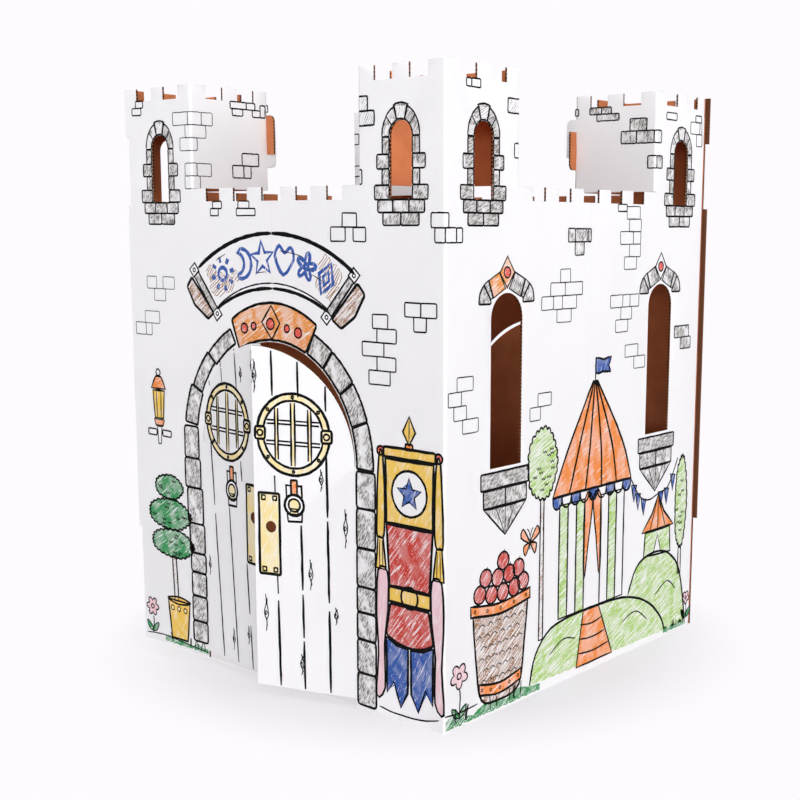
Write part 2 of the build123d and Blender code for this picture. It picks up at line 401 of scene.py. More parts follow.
def finish_of(name):
    """The material of a crayon or a pencil; one whose name ends in _stroke is pressed harder."""
    if name == "ink":
        return printing_ink()
    kind = name.removesuffix("_stroke")
    hard = kind != name
    if kind in CRAYONS:
        wax = tuple(getattr(bpy.context.scene.castle_drawing, kind))
        angle, cover, pale = CRAYONS[kind][:3]
        return wax_crayon(name, wax, angle, 0.97 if hard else cover, 0.0 if hard else pale)
    if kind in PENCILS:
        angle, weight = PENCILS[kind][:2]
        return pencil_shading(name, angle, 1.6 if hard else weight)
    raise RuntimeError(f"no finish is called {name}")


MADE = {}


def material_for(name):
    """The finish of that name, made once."""
    if name not in MADE:
        MADE[name] = finish_of(name)
    return MADE[name]


# Shapes on a panel, in millimetres

def arc(centre, radius, start, end, step=6.0, tall=1.0):
    """Points on an arc. Angles are clockwise from straight up; tall stretches it upwards."""
    count = max(3, int(abs(math.radians(end - start)) * radius / step) + 2)
    turns = [math.radians(start + (end - start) * i / (count - 1)) for i in range(count)]
    return [(centre[0] + radius * math.sin(t), centre[1] + tall * radius * math.cos(t)) for t in turns]


def compass(turn):
    """A step of one millimetre in a direction that is given in degrees clockwise from straight up."""
    return Vector((math.sin(math.radians(turn)), math.cos(math.radians(turn))))


def ring(centre, radius, step=5.0):
    """Points on a whole circle."""
    return arc(centre, radius, 0.0, 360.0, step)[:-1]


def five_points(centre, reach, waist):
    """The outline of a star with five points."""
    return [tuple(Vector(centre) + compass(36 * i) * (waist if i % 2 else reach)) for i in range(10)]


def at(points, x, z=0, side=1):
    """Points given from a middle line and a base, moved to their place, and mirrored where side is -1."""
    return [(x + side * across, z + up) for across, up in points]


def smooth(points, closed=False, parts=4):
    """A smooth line through all the points."""
    count = len(points)
    spans = count if closed else count - 1
    made = []
    for i in range(spans):
        ids = [(i + k) % count if closed else min(max(i + k, 0), count - 1) for k in (-1, 0, 1, 2)]
        a, b, c, d = [Vector(points[k]) for k in ids]
        for j in range(parts):
            t = j / parts
            p = 0.5 * (2 * b + (c - a) * t + (2 * a - 5 * b + 4 * c - d) * t * t
                       + (3 * b - a - 3 * c + d) * t * t * t)
            made.append((p.x, p.y))
    if not closed:
        made.append(tuple(points[-1]))
    return made


def rounded(points, radius):
    """A closed polygon with its corners cut round."""
    made = []
    count = len(points)
    for i in range(count):
        before, here, after = (Vector(points[(i + k) % count]) for k in (-1, 0, 1))
        into, out = before - here, after - here
        reach = min(radius, into.length / 2.2, out.length / 2.2)
        first = here + into.normalized() * reach
        last = here + out.normalized() * reach
        mid = (first + last) / 4 + here / 2
        made += [(first.x, first.y), (mid.x, mid.y), (last.x, last.y)]
    return made


def block(left, low, right, high, radius=3.0):
    """An upright rectangle with its corners cut round."""
    return rounded([(left, low), (right, low), (right, high), (left, high)], radius)


def zigzags(points, angle, gap, chance):
    """Rows of strokes to and fro inside a closed shape, as one or more zigzag lines."""
    turn = math.radians(angle)
    along, across = Vector((math.cos(turn), math.sin(turn))), Vector((-math.sin(turn), math.cos(turn)))
    flat = [(Vector(p).dot(along), Vector(p).dot(across)) for p in points]
    level = min(c for _, c in flat) + gap * 0.4
    top = max(c for _, c in flat)
    chains, row = {}, 0
    while level < top:
        sides = zip(flat, flat[1:] + flat[:1])
        cuts = sorted(a0 + (a1 - a0) * (level - c0) / (c1 - c0)
                      for (a0, c0), (a1, c1) in sides if (c0 <= level) != (c1 <= level))
        for number, (start, end) in enumerate(zip(cuts[::2], cuts[1::2])):
            if end - start < 3.0:
                continue
            first, last = start + chance.uniform(-0.8, 2.4), end - chance.uniform(-0.8, 2.4)
            bent = level + chance.uniform(-0.3, 0.3) * gap
            stroke = [(first, level), ((start + end) / 2, bent), (last, level)]
            chains.setdefault((len(cuts), number, row // 16), []).extend(stroke[::-1] if row % 2 else stroke)
        level += gap * chance.uniform(0.7, 1.3)
        row += 1
    return [[tuple(along * a + across * c) for a, c in chain] for chain in chains.values()]


class Drawing:
    """Pen strokes and coloured patches on one panel, which become one inked mesh and one coloured mesh."""

    def __init__(self, name, panel, seed, fold_at=None):
        self.name, self.panel, self.fold_at = name, PANELS[panel], fold_at
        self.random = random.Random(seed)
        self.stray = bpy.context.scene.castle_drawing.wobble / MM
        self.ink = self.ribbons("ink", INK_THICK, INK_LIFT)
        self.patches = {}

    def sheet(self, kind, dimensions, lift):
        """An empty curve object that lies a little above the panel."""
        curve = bpy.data.curves.new(f"{self.name}_{kind}", "CURVE")
        curve.dimensions = dimensions
        made = bpy.data.objects.new(f"{self.name}_{kind}", curve)
        made.location.z = lift
        bpy.context.scene.collection.objects.link(made)
        return made

    def ribbons(self, kind, thick, lift):
        """An empty curve object whose strokes become flat ribbons."""
        made = self.sheet(kind, "3D", lift)
        made.data.extrude = 1.0
        made.data.bevel_depth = thick
        made.data.bevel_resolution = 0
        made.data.use_fill_caps = True
        made.data.twist_mode = "Z_UP"
        return made

    def stroke(self, curve, points, width, thin, wide, stray=0.0):
        """Adds one ribbon, whose width and place vary as a hand's do."""
        spline = curve.data.splines.new("POLY")
        spline.points.add(len(points) - 1)
        for point, (x, y) in zip(spline.points, points):
            if stray:
                x, y = (place + self.random.uniform(-stray, stray) for place in (x, y))
            point.co = (x, y, 0, 1)
            point.radius = width / 2 * self.random.uniform(thin, wide)
            point.tilt = math.pi / 2
        return spline

    def pen(self, points, width=2.6, closed=False, stray=1.0):
        """One stroke of the pen, a flat ribbon of the given width."""
        fine = []
        span = PEN_SPAN if self.fold_at is None else PEN_SPAN_ON_FOLD
        ends = list(points) + ([points[0]] if closed else [])
        for (x0, y0), (x1, y1) in zip(ends, ends[1:]):
            parts = max(1, int(math.hypot(x1 - x0, y1 - y0) / span))
            fine += [(x0 + (x1 - x0) * i / parts, y0 + (y1 - y0) * i / parts) for i in range(parts)]
        if not closed:
            fine.append(ends[-1])
        spline = self.stroke(self.ink, fine, width, 0.86, 1.12, self.stray * stray)
        spline.use_cyclic_u = closed
        if not closed:
            spline.points[0].radius *= 0.6
            spline.points[-1].radius *= 0.6

    def patch(self, points, finish, layer=0):
        """One coloured area inside a closed line."""
        key = (finish, layer)
        if key not in self.patches:
            made = self.sheet(f"{finish}_{layer}", "2D", PATCH_LIFT + LAYER * layer)
            made.data.fill_mode = "BOTH"
            made.data.extrude = PATCH_THICK
            made.data.materials.append(material_for(finish))
            self.patches[key] = made
        spline = self.patches[key].data.splines.new("POLY")
        spline.points.add(len(points) - 1)
        for point, (x, y) in zip(spline.points, points):
            point.co = (x, y, 0, 1)
        spline.use_cyclic_u = True
        self.rub(points, finish, layer)

    def rub(self, points, finish, layer=0):
        """Strokes of the crayon or the pencil to and fro over a patch."""
        angle, _, _, gap, width, passes = STROKES.get(finish, (0, 0, 0, 0, 0, 0))
        for number in range(passes):
            turn = angle + 70.0 * number + self.random.uniform(-14, 14)
            for path in zigzags(points, turn, gap, self.random):
                self.crayon(path, finish, width, layer)

    def crayon(self, points, finish, width, layer=0, closed=False):
        """One hard-pressed line of a crayon or a pencil."""
        key = (finish + "_stroke", layer)
        if key not in self.patches:
            made = self.ribbons(f"{finish}_stroke_{layer}", STROKE_THICK, STROKE_LIFT + LAYER * layer)
            made.data.materials.append(material_for(key[0]))
            self.patches[key] = made
        self.stroke(self.patches[key], points, width, 0.75, 1.15).use_cyclic_u = closed

    def shape(self, points, finish=None, width=2.6, layer=0):
        """A closed outline with colour inside it."""
        if finish:
            self.patch(points, finish, layer)
        self.pen(points, width, closed=True)

    def curve(self, points, width=2.4, parts=4):
        """A smooth open stroke through the points."""
        self.pen(smooth(points, parts=parts), width)

    def blob(self, points, finish=None, width=3.0, parts=4, layer=0):
        """A smooth closed outline through the points, with colour inside it."""
        self.shape(smooth(points, closed=True, parts=parts), finish, width, layer)

    def disc(self, centre, radius, finish, width, step, layer=0):
        """A circle with colour inside it."""
        self.shape(ring(centre, radius, step), finish, width, layer)

    def slab(self, left, low, right, high, finish, width, radius=3.0, layer=0):
        """An upright rectangle with its corners cut round and colour inside it."""
        self.shape(block(left, low, right, high, radius), finish, width, layer)

    def bricks(self, style, *places):
        """Bricks of one style. A place is a left edge, a base and its courses from the bottom up.

        A course is an offset and the lengths of its bricks; a length below zero is a gap.
        """
        finish, width, course = style
        for left, low, *rows in places:
            for number, (offset, *lengths) in enumerate(rows):
                start, base = left + offset, low + number * course
                for length in lengths:
                    if length > 0:
                        self.slab(start, base, start + length, base + course, finish, width, 2.5)
                    start += abs(length)

    def finish(self):
        """Turns the curves into two meshes on their panel and puts them on the body."""
        self.ink.data.materials.append(material_for("ink"))
        made = [one_mesh([self.ink], f"{self.name}_ink", self.panel, self.fold_at)]
        if self.patches:
            patches = list(self.patches.values())
            made.append(one_mesh(patches, f"{self.name}_colour", self.panel, self.fold_at))
        for piece in made:
            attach(piece, "root")
        return made


def choose(objects):
    """Selects these objects alone and makes the first the active one."""
    bpy.ops.object.select_all(action="DESELECT")
    for one in objects:
        one.select_set(True)
    bpy.context.view_layer.objects.active = objects[0]


def one_mesh(curves, name, panel, fold_at):
    """Makes curves one welded mesh and lays it on a panel, round a fold if there is one."""
    choose(curves)
    bpy.ops.object.convert(target="MESH")
    bpy.ops.object.transform_apply(location=True, rotation=True, scale=True)
    if len(curves) > 1:
        bpy.ops.object.join()
    piece = bpy.context.view_layer.objects.active
    piece.name = name
    piece.data.name = name
    bpy.ops.object.mode_set(mode="EDIT")
    bpy.ops.mesh.select_all(action="SELECT")
    bpy.ops.mesh.remove_doubles(threshold=WELD)
    bpy.ops.object.mode_set(mode="OBJECT")
    lay(piece.data, panel, fold_at)
    return piece


def lay(mesh, panel, fold_at):
    """Moves a flat drawing in millimetres to its panel in metres."""
    x, y, heading = panel
    turn = math.radians(heading)
    along = Vector((math.cos(turn), math.sin(turn), 0.0))
    out = Vector((math.sin(turn), -math.cos(turn), 0.0))
    corner = Vector((x, y, 0.0))
    for vertex in mesh.vertices:
        u, v, height = vertex.co
        if fold_at is None or u <= fold_at - FOLD_RADIUS:
            place = along * u + out * height
        elif u < fold_at + FOLD_RADIUS:
            bend = (u - fold_at + FOLD_RADIUS) / (2 * FOLD_RADIUS) * math.pi / 2
            spoke = out * math.cos(bend) + along * math.sin(bend)
            place = along * (fold_at - FOLD_RADIUS) - out * FOLD_RADIUS + spoke * (FOLD_RADIUS + height)
        else:
            place = along * (fold_at + height) - out * (u - fold_at)
        vertex.co = (corner + place + Vector((0.0, 0.0, v))) * MM
    mesh.update()


# Motifs of the drawing

def tower_window(page, middle, shade="stone"):
    """Stonework round a tower window: ring of voussoirs with a keystone, quoins and two sill courses."""
    crown = (middle, 984.0)
    inner, outer = 25.5, 41.0
    for low, high in ((18.0, 50.0), (50.0, 90.0)):
        for side in (-1, 1):
            path = arc(crown, outer, side * low, side * high, 5.0, 1.2) \
                + arc(crown, inner, side * high, side * low, 5.0, 1.05)
            page.shape(path, shade, 2.6)
    page.shape(arc(crown, outer + 3.0, -21.0, 21.0, 5.0, 1.18) + arc(crown, inner, 21.0, -21.0, 5.0, 1.05),
               shade, 2.6)
    for side in (-1, 1):
        for reach, low, high in ((40.5, 955.5, 983.0), (52.5, 932.5, 955.5), (41.0, 906.5, 932.5),
                                 (58.5, 883.5, 906.5)):
            left, right = sorted((middle + side * inner, middle + side * reach))
            page.slab(left, low, right, high, shade, 2.6)
    for high, cuts in ((883.0, (-51.0, -17.6, 17.6, 51.0)), (862.5, (-39.5, 0.0, 39.5))):
        for start, end in zip(cuts, cuts[1:]):
            page.slab(middle + start, high - 20.5, middle + end, high, shade, 2.8)


def banner(page):
    """Arched name board over the door, held by two brackets, with blue signs where a child has drawn."""
    hub = Vector((DOOR_MIDDLE, 475.0))
    for centre, radius, start, end, width in ((hub, 352.0, -35.5, 35.5, 6.4),
                                              ((DOOR_MIDDLE, 432.5), 297.0, -31.0, 28.5, 5.4),
                                              (hub, 264.0, -34.0, 32.5, 2.4)):
        cracked = math.degrees(CREASE / 2 / radius)
        page.pen(arc(centre, radius, start, -cracked, 9.0), width, stray=0.5)
        page.pen(arc(centre, radius, cracked, end, 9.0), width, stray=0.5)
    for low, high, radius in ((-27, -22, 338), (4, 14, 322), (-9, -3, 284), (20, 25, 300)):
        page.pen(arc(hub, radius, low, high, 9.0), 1.4)
    for turn, radius, reach in ((-31, 326, 15), (-30, 298, 22), (-25, 286, 17), (-20, 292, 12), (24, 330, 15),
                                (29, 322, 20), (31, 296, 18), (25, 294, 14)):
        spot = hub + compass(turn) * radius
        page.rub(ring(spot, reach * page.random.uniform(0.85, 1.15), 7.0), "brown")
    boards = (((189, 757), (253, 678), [(181, 744), (167, 726), (188, 692), (226, 667), (243, 678)]),
              ((610, 758), (543, 685), [(618, 745), (635, 727), (612, 689), (578, 667), (556, 682)]))
    for high, low, board in boards:
        page.shape(rounded(board, 4.0), "bark", 4.4)
        ray = (Vector(high) - Vector(low)).normalized()
        across = Vector((ray.y, -ray.x))

        def corners(first, last, half):
            ends = ((first, -half), (last, -half), (last, half), (first, half))
            return [tuple(p + across * off) for p, off in ends]
        page.shape(corners(Vector(low) + ray * 9, Vector(high) - ray * 9, 7.5), "bracket", 3.4, 1)
        for end in (Vector(low), Vector(high)):
            page.shape(corners(end - ray * 9.5, end + ray * 9.5, 9.5), "white", 3.6, 1)
            page.disc(tuple(end), 3.6, None, 2.2, 2.5)
    petals = [tuple(compass(10 * i) * 17 * (1 + 0.45 * math.cos(math.radians(50 * i)))) for i in range(36)]
    rays = [[tuple(compass(45 * i + 10) * reach) for reach in (21, 32)] for i in range(8)]
    star = five_points((0, 0), 31, 13)
    heart = smooth([(0, -27), (-24, 3), (-15, 23), (0, 12), (15, 23), (24, 3)], closed=True, parts=3)
    signs = (
        (-26.0, [ring((0, 0), 12, 6.0)], rays),
        (-15.5, [arc((0, 0), 27, 10, 210, 8.0) + arc((-12, 3), 20, 185, 20, 8.0)], []),
        (-4.8, [star], []),
        (6.0, [heart], []),
        (16.6, [petals, ring((0, 0), 5, 4.0)], []),
        (26.4, [[(0, 29), (19, 0), (0, -29), (-19, 0)], [(0, 13), (8, 0), (0, -13), (-8, 0)]], []),
    )
    for turn, closed, strokes in signs:
        ray, across = compass(turn), compass(turn + 90.0)
        for line in closed + strokes:
            path = [tuple(hub + ray * (308 + y) + across * x) for x, y in line]
            page.crayon(path, "blue", 7.6, 0, closed=line in closed)


def arch_stones(page):
    """Stones round the doorway: voussoirs on the arch, blocks down both jambs and a jewelled keystone."""
    def voussoir(start, end, inner, outer):
        """One stone of the arch, with a thin gap to the next."""
        first, last = start + 0.2, end - 0.2
        path = arc(ARCH_CENTRE, inner, first, last) + arc(ARCH_CENTRE, outer, last, first)
        page.shape(rounded_ends(path), "stone", 4.0)
    for start, end in ((24.8, 37.6), (37.6, 54.0), (54.0, 71.0), (71.0, 91.0)):
        voussoir(start, end, ARCH_RADIUS + 4.0, ARCH_RADIUS + 43.0)
    # The printed stones on the left lie a little outside the cut, as on a sheet cut out of register
    for start, end, inner, outer in ((-46.6, -27.8, 219.5, 249.5), (-65.0, -46.6, 224.0, 252.5),
                                     (-82.4, -65.0, 221.0, 257.5)):
        voussoir(start, end, inner, outer)
    jamb = (26, 68, 119, 167, 206, 265, 336, 395, 458)
    for low, high, left, right in zip(jamb, jamb[1:], (157, 157, 157, 156, 154, 150, 145, 146),
                                      (201, 201, 200.5, 200.5, 199, 196, 191.5, 188)):
        page.slab(left, low, right, high - 0.6, "stone", 3.8, 6.0)
    for (x, low), high in (((257.7, 573), 592), ((224.5, 541), 550), ((297.2, 611), 616)):
        page.pen([(x, low), (x - 0.8, high)], 2.8)
    for low, high in zip((6, 65, 126, 175, 221, 290, 360), (65, 126, 175, 221, 290, 360, 425)):
        page.slab(611.5, low, 656.0, high - 0.6, "stone", 3.8, 6.0)
    crown = (DOOR_MIDDLE, 506.0)
    top = arc(crown, 198.0, -34.5, 34.5, 8.0)
    bottom = arc(ARCH_CENTRE, ARCH_RADIUS + 3.5, 23.8, -26.6, 8.0)
    page.shape(rounded_ends(top + bottom), "amber", 4.2)
    page.pen([(376, 668), (402, 699), (424, 668), (402, 639)], 3.4, closed=True)
    for place, radius in (((328.5, 655), 9.0), ((354, 660), 6.8), ((442, 660), 6.8), ((471, 654), 9.0),
                          ((399, 666), 10.0)):
        page.disc(place, radius, "gem", 2.8, 3.0, 1)


def rounded_ends(path):
    """Takes the sharp corners off a closed path where it turns hard."""
    made = []
    count = len(path)
    for i in range(count):
        before, here, after = (Vector(path[(i + k) % count]) for k in (-1, 0, 1))
        into, out = (here - before), (after - here)
        if into.length < 1e-6 or out.length < 1e-6 or into.angle(out) < 0.7:
            made.append(path[i])
            continue
        reach = min(6.0, into.length / 2, out.length / 2)
        first, last = here - into.normalized() * reach, here + out.normalized() * reach
        made += [(first.x, first.y), ((first + last) / 4 + here / 2)[:], (last.x, last.y)]
    return made


def lantern(page):
    """Lantern with yellow panes on a wall bracket."""
    page.shape([(46, 522), (54, 538), (60, 546), (76, 546), (82, 538), (90, 522)], "orange", 3.2)
    page.disc((68, 554), 6.5, None, 2.8, 3.0)
    page.shape([(50, 518), (86, 518), (81, 463), (55, 463)], "yellow", 3.2)
    for top, low in ((61, 62), (75, 74)):
        page.pen([(top, 518), (low, 463)], 2.4)
    page.shape([(52, 460), (84, 460), (79, 448), (57, 448)], "orange", 3.2)
    page.shape([(61, 446), (75, 446), (72, 412), (64, 412)], None, 2.8)
    page.slab(32, 428, 59, 440, None, 2.8)
    page.slab(77, 428, 104, 440, None, 2.8)


def clipped_bush(page, middle, wide, tall, finish, leaves):
    """A clipped bush with a scalloped edge and a few tufts inside."""
    outline = []
    for i in range(leaves * 4):
        turn = 2 * math.pi * i / (leaves * 4)
        push = 1 + 0.09 * abs(math.sin(turn * leaves / 2)) + 0.02 * math.sin(5 * turn)
        outline.append((middle[0] + wide * push * math.sin(turn), middle[1] + tall * push * math.cos(turn)))
    page.shape(outline, finish, 3.4)
    for _ in range(int(wide * tall / 190)):
        turn, share = page.random.uniform(0, 2 * math.pi), math.sqrt(page.random.uniform(0.02, 0.66))
        x, y = middle[0] + wide * share * math.sin(turn), middle[1] + tall * share * math.cos(turn)
        page.curve(at([(-6, 2), (-3, -3), (0, 1), (3, -3), (6, 2)], x, y), 1.8, 2)


def tiered_tree(page):
    """Tree clipped in three tiers, in a yellow tub."""
    page.shape([(96, 188), (108, 188), (112, 96), (100, 96)], "brown", 3.2)
    for middle, wide, tall, leaves in (((99, 213), 62, 27, 26), ((92, 272), 62, 29, 26),
                                       ((92, 327), 41, 23, 20)):
        clipped_bush(page, middle, wide, tall, "leaf_green", leaves)
    page.shape([(79, 97), (147, 97), (138, 18), (88, 18)], "yellow", 3.8)
    page.blob([(77, 98), (112, 105), (149, 98), (112, 90)], "yellow", 3.4, 5, 1)
    for x in (92, 112, 132):
        page.disc((x, 80), 5.0, "straw", 2.2, 3.0, 1)


def daisy(page, middle, radius, petals=6):
    """Flower with round petals on a stem with two leaves."""
    x, z = middle
    outline = []
    for i in range(petals * 6):
        turn = 2 * math.pi * i / (petals * 6)
        push = 0.62 + 0.42 * abs(math.sin(turn * petals / 2))
        outline.append((x + radius * push * math.sin(turn), z + radius * push * math.cos(turn)))
    page.shape(outline, "pink", 2.6)
    page.disc(middle, radius * 0.24, None, 2.4, 2.5)
    foot = 14.0
    page.curve([(x + 1, z - radius * 1.05), (x + 3, (z + foot) / 2), (x, foot)], 2.6)
    for side in (-1, 1):
        tip = (x + side * 19, foot + 24)
        page.blob([(x + 1, foot + 5), (x + side * 6, foot + 18), tip, (x + side * 13, foot + 8)],
                  "leaf_green", 2.2)


def grass(page, start, end, low, high, blades=8):
    """A strip of crayoned grass with a few inked blades."""
    count = 9
    top = [(start + (end - start) * i / (count - 1), low + (high - low) * (0.7 + 0.3 * math.sin(2.3 * i))
            + page.random.uniform(-2, 2)) for i in range(count)]
    page.patch([(start, low)] + smooth(top) + [(end, low)], "leaf_green")
    for _ in range(blades):
        x, lean = page.random.uniform(start, end), page.random.uniform(-5, 7)
        page.curve([(x, low + 4), (x + lean * 0.2, high * 0.8), (x + lean, high * 1.35)], 2.0, 3)


def standard(page):
    """Heraldic cloth on a pole: yellow head, red field, yellow belt, blue tails, tassels and pink ribbons."""
    mid = 734.0
    page.shape(at([(0, 530), (14, 504), (0, 482), (-14, 504)], mid), "yellow", 4.0)
    page.pen([(mid, 524), (mid, 488)], 2.0)
    page.slab(mid - 58, 458, mid + 58, 475, "yellow", 4.4, 4.0)
    page.slab(mid - 8, 474, mid + 8, 484, "orange", 3.2, 2.0)
    for side in (-1, 1):
        page.disc((mid + side * 65, 467), 8.0, "gem", 3.4, 3.5)
        rope = at([(60, 457), (69, 457), (75, 330), (68, 318), (58, 322), (56, 380)], mid, 0, side)
        page.blob(rope, "yellow", 3.8, 3)
        page.shape(at([(60, 316), (72, 316), (77, 262), (53, 262)], mid, 0, side), "yellow", 3.6)
        page.pen(at([(62, 312), (61, 264)], mid, 0, side), 2.0)
        page.pen(at([(68, 312), (69, 264)], mid, 0, side), 2.0)
        ribbon = [(50, 258), (72, 258), (76, 180), (72, 110), (77, 34), (57, 50), (58, 128), (50, 190)]
        page.blob(at(ribbon, mid, 0, side), "pink", 3.6, 3)
    page.shape(at([(-54, 455), (54, 455), (52, 345), (-52, 345)], mid), "yellow", 4.4)
    page.patch(ring((mid, 400), 39, 6.0), "white", 1)
    page.disc((mid, 400), 39, None, 3.8, 6.0)
    page.shape(five_points((mid, 399), 28, 12), "blue", 3.0, 2)
    page.shape(at([(-52, 342), (52, 342), (45, 236), (-45, 236)], mid), "red", 4.4)
    page.slab(mid - 47, 208, mid + 47, 234, "yellow", 4.2)
    page.disc((mid, 221), 19, "yellow", 3.8, 5.0, 1)
    skirt = at([(-44, 205), (44, 205), (54, 148), (30, 137), (0, 133), (-30, 137), (-54, 148)], mid)
    page.shape(rounded(skirt, 5.0), "red", 4.4)
    for side in (-1, 1):
        tail = at([(3, 130), (30, 133), (53, 143), (52, 44), (36, 66), (20, 24), (4, 52)], mid, 0, side)
        page.shape(tail, "blue", 4.2)


def window_hood(page, middle, tint):
    """Hood over a tall window: a pointed stone with a gem, and stepped stones down both sides."""
    page.shape(at([(0, 792), (20, 765), (0, 739), (-20, 765)], middle), tint, 3.2)
    page.disc((middle, 765), 9.0, "gem", 2.6, 3.0, 1)
    for side in (-1, 1):
        for points, finish in (
                ([(22, 765), (49, 753), (37, 724), (5, 738)], tint if side < 0 and tint else "stone"),
                ([(51, 753), (62, 746), (44, 721), (39, 724)], "dark_stone"),
                (rounded([(63, 746), (73, 732), (76, 714), (43, 714), (45, 721)], 4.0), "stone")):
            page.shape(at(points, middle, 0, side), finish, 3.0)


def window_sill(page, middle):
    """Sill slab, a block under it and a pointed corbel with fan lines."""
    page.slab(middle - 67, 400, middle + 67, 428, "dark_stone", 3.2, 2.0)
    page.slab(middle - 60, 368, middle, 398, "dark_stone", 3.0, 2.0)
    page.slab(middle, 368, middle + 60, 398, "stone", 3.0, 2.0)
    page.shape(at([(-58, 366), (58, 366), (0, 315)], middle), "stone", 3.0)
    for x in (-26, 0, 28):
        page.pen([(middle + x, 366), (middle + x * 0.1, 320)], 2.2)


def fruit_basket(page):
    """Wicker basket heaped with red apples."""
    body = [(74, 186)] + smooth([(74, 186), (150, 176), (228, 186)])[1:-1] + smooth(
        [(228, 186), (219, 110), (204, 32), (150, 20), (98, 32), (82, 110), (74, 186)])[:-1]
    page.shape(body, "bark", 4.0)
    for row in range(6):
        z = 62 + 20 * row
        half = 55 + 3.2 * row
        for k in range(7):
            x = 150 - half + 2 * half * (k + 0.5 * (row % 2)) / 6.4
            if x + 18 < 150 + half:
                page.curve([(x, z), (x + 9, z + 5), (x + 17, z)], 1.5, 3)
    for low, left, right, bow in ((174, 68, 234, 10), (30, 92, 210, 10)):
        band = smooth([(left, low + 12), (150, low + 12 - bow), (right, low + 12)], parts=5)
        page.shape(band + [(x, z + 19) for x, z in band[::-1]], "orange", 3.8, 1)
        for x, z in band[1:-1:2]:
            page.disc((x, z + 9.5), 2.6, None, 1.8, 2.0)
    for x, z in ((92, 221), (124, 215), (156, 213), (188, 215), (214, 221), (108, 247), (141, 242),
                 (173, 243), (200, 248), (156, 269)):
        page.disc((x, z), 16.0, "red", 3.2, 4.0)
        page.pen([(x, z + 11), (x + 4, z + 20)], 2.4)


def butterfly(page, x, z):
    """Butterfly with orange wings."""
    for side in (-1, 1):
        page.blob(at([(2, 0), (20, 24), (27, 10), (4, -3)], x, z, side), "orange", 3.0, 3)
        page.blob(at([(2, -5), (19, -8), (14, -25)], x, z, side), "orange", 3.0, 3)
        page.curve(at([(0, 8), (4, 18), (9, 23)], x, z, side), 2.0, 3)
    page.pen([(x, z + 9), (x, z - 16)], 4.0)


def tree_on_hill(page, middle, wide, tall, foot, leaves):
    """A light green tree with its trunk."""
    clipped_bush(page, middle, wide, tall, "lime", leaves)
    x, low = middle[0], middle[1] - tall - 2
    page.shape([(x - 5, low), (x + 5, low), (x + 6, foot), (x - 6, foot)], "brown", 3.0)


def pavilion(page):
    """Striped tent with an orange roof, a small tent, trees and blue bunting on light green hills."""
    back = smooth([(560, 118), (590, 168), (640, 186), (700, 180), (752, 140), (778, 60), (784, 12)])
    page.patch([(560, 14)] + back, "lime")
    page.pen(back, 4.2)
    front = smooth([(236, 20), (254, 74), (300, 112), (380, 122), (470, 122), (560, 114), (640, 84),
                    (690, 40), (704, 12)])
    page.patch(front, "lime", 1)
    page.pen(front, 4.2)
    for rise in ([(296, 62), (340, 82), (380, 74)], [(540, 66), (590, 78), (636, 50)],
                 [(664, 96), (710, 116), (744, 92)]):
        page.curve(rise, 2.4)
    page.shape([(404, 121), (456, 121), (506, 14), (384, 14)], "orange", 3.4, 2)
    for z, left, right in ((96, 396, 468), (68, 392, 480), (40, 388, 494)):
        page.curve([(left, z), ((left + right) / 2, z - 5), (right, z)], 3.0, 3)
    for i in range(8):
        low, high = 322 + 27 * i, 349 + 27 * i
        if i not in (3, 4):
            stripe = "lime" if i % 2 == 0 else None
            page.shape([(low, 124), (high, 124), (high, 338), (low, 338)], stripe, 3.6)
    for side in (-1, 1):
        flap = at([(1, 336), (27, 336), (27, 180), (12, 262)], 430, 0, side)
        page.blob(flap, "orange", 3.4, 3)
    for i in range(9):
        low, high = 300 + 29 * i, 329 + 29 * i
        scallop = [(low, 354)] + arc(((low + high) / 2, 346), 13.5, -90, -270, 5.0) + [(high, 354)]
        page.shape(scallop, "blue" if i % 2 == 0 else None, 3.4)
    cuts = [300, 352, 404, 457, 509, 561]
    for i in range(5):
        def seam(x, bow, tip):
            return smooth([(x, 356), ((x + tip) / 2 + bow, 436), (tip, 558)])
        left = seam(cuts[i], 9 * (i - 2.0), 423 + 3 * i)
        right = seam(cuts[i + 1], 9 * (i - 1.0), 426 + 3 * i)
        page.shape(left + right[::-1], "orange", 4.0)
    page.pen([(430, 558), (430, 602)], 3.6)
    page.blob([(432, 601), (456, 596), (482, 600), (474, 584), (480, 572), (454, 574), (432, 572)],
              "blue", 3.6, 2)
    page.shape([(616, 184), (718, 178), (714, 232), (620, 232)], "lime", 3.6, 1)
    page.shape([(652, 183), (682, 181), (667, 222)], "white", 3.0, 2)
    page.shape([(606, 234), (728, 234), (690, 268), (667, 306), (644, 268)], "orange", 4.0)
    for x in (637, 667, 697):
        page.pen([(x, 234), (667 + (x - 667) * 0.15, 294)], 2.6)
    tree_on_hill(page, (268, 424), 42, 62, 98, 22)
    tree_on_hill(page, (757, 276), 22, 92, 122, 24)
    rope = smooth([(562, 352), (596, 312), (630, 300), (667, 308), (704, 318), (740, 372)], parts=5)
    page.pen(rope, 2.8)
    for index in (2, 4, 7, 16, 19, 22):
        x, z = rope[index]
        page.shape(at([(-9, 2), (10, -1), (1, -33)], x, z), "blue", 3.2, 1)
    butterfly(page, 233, 290)


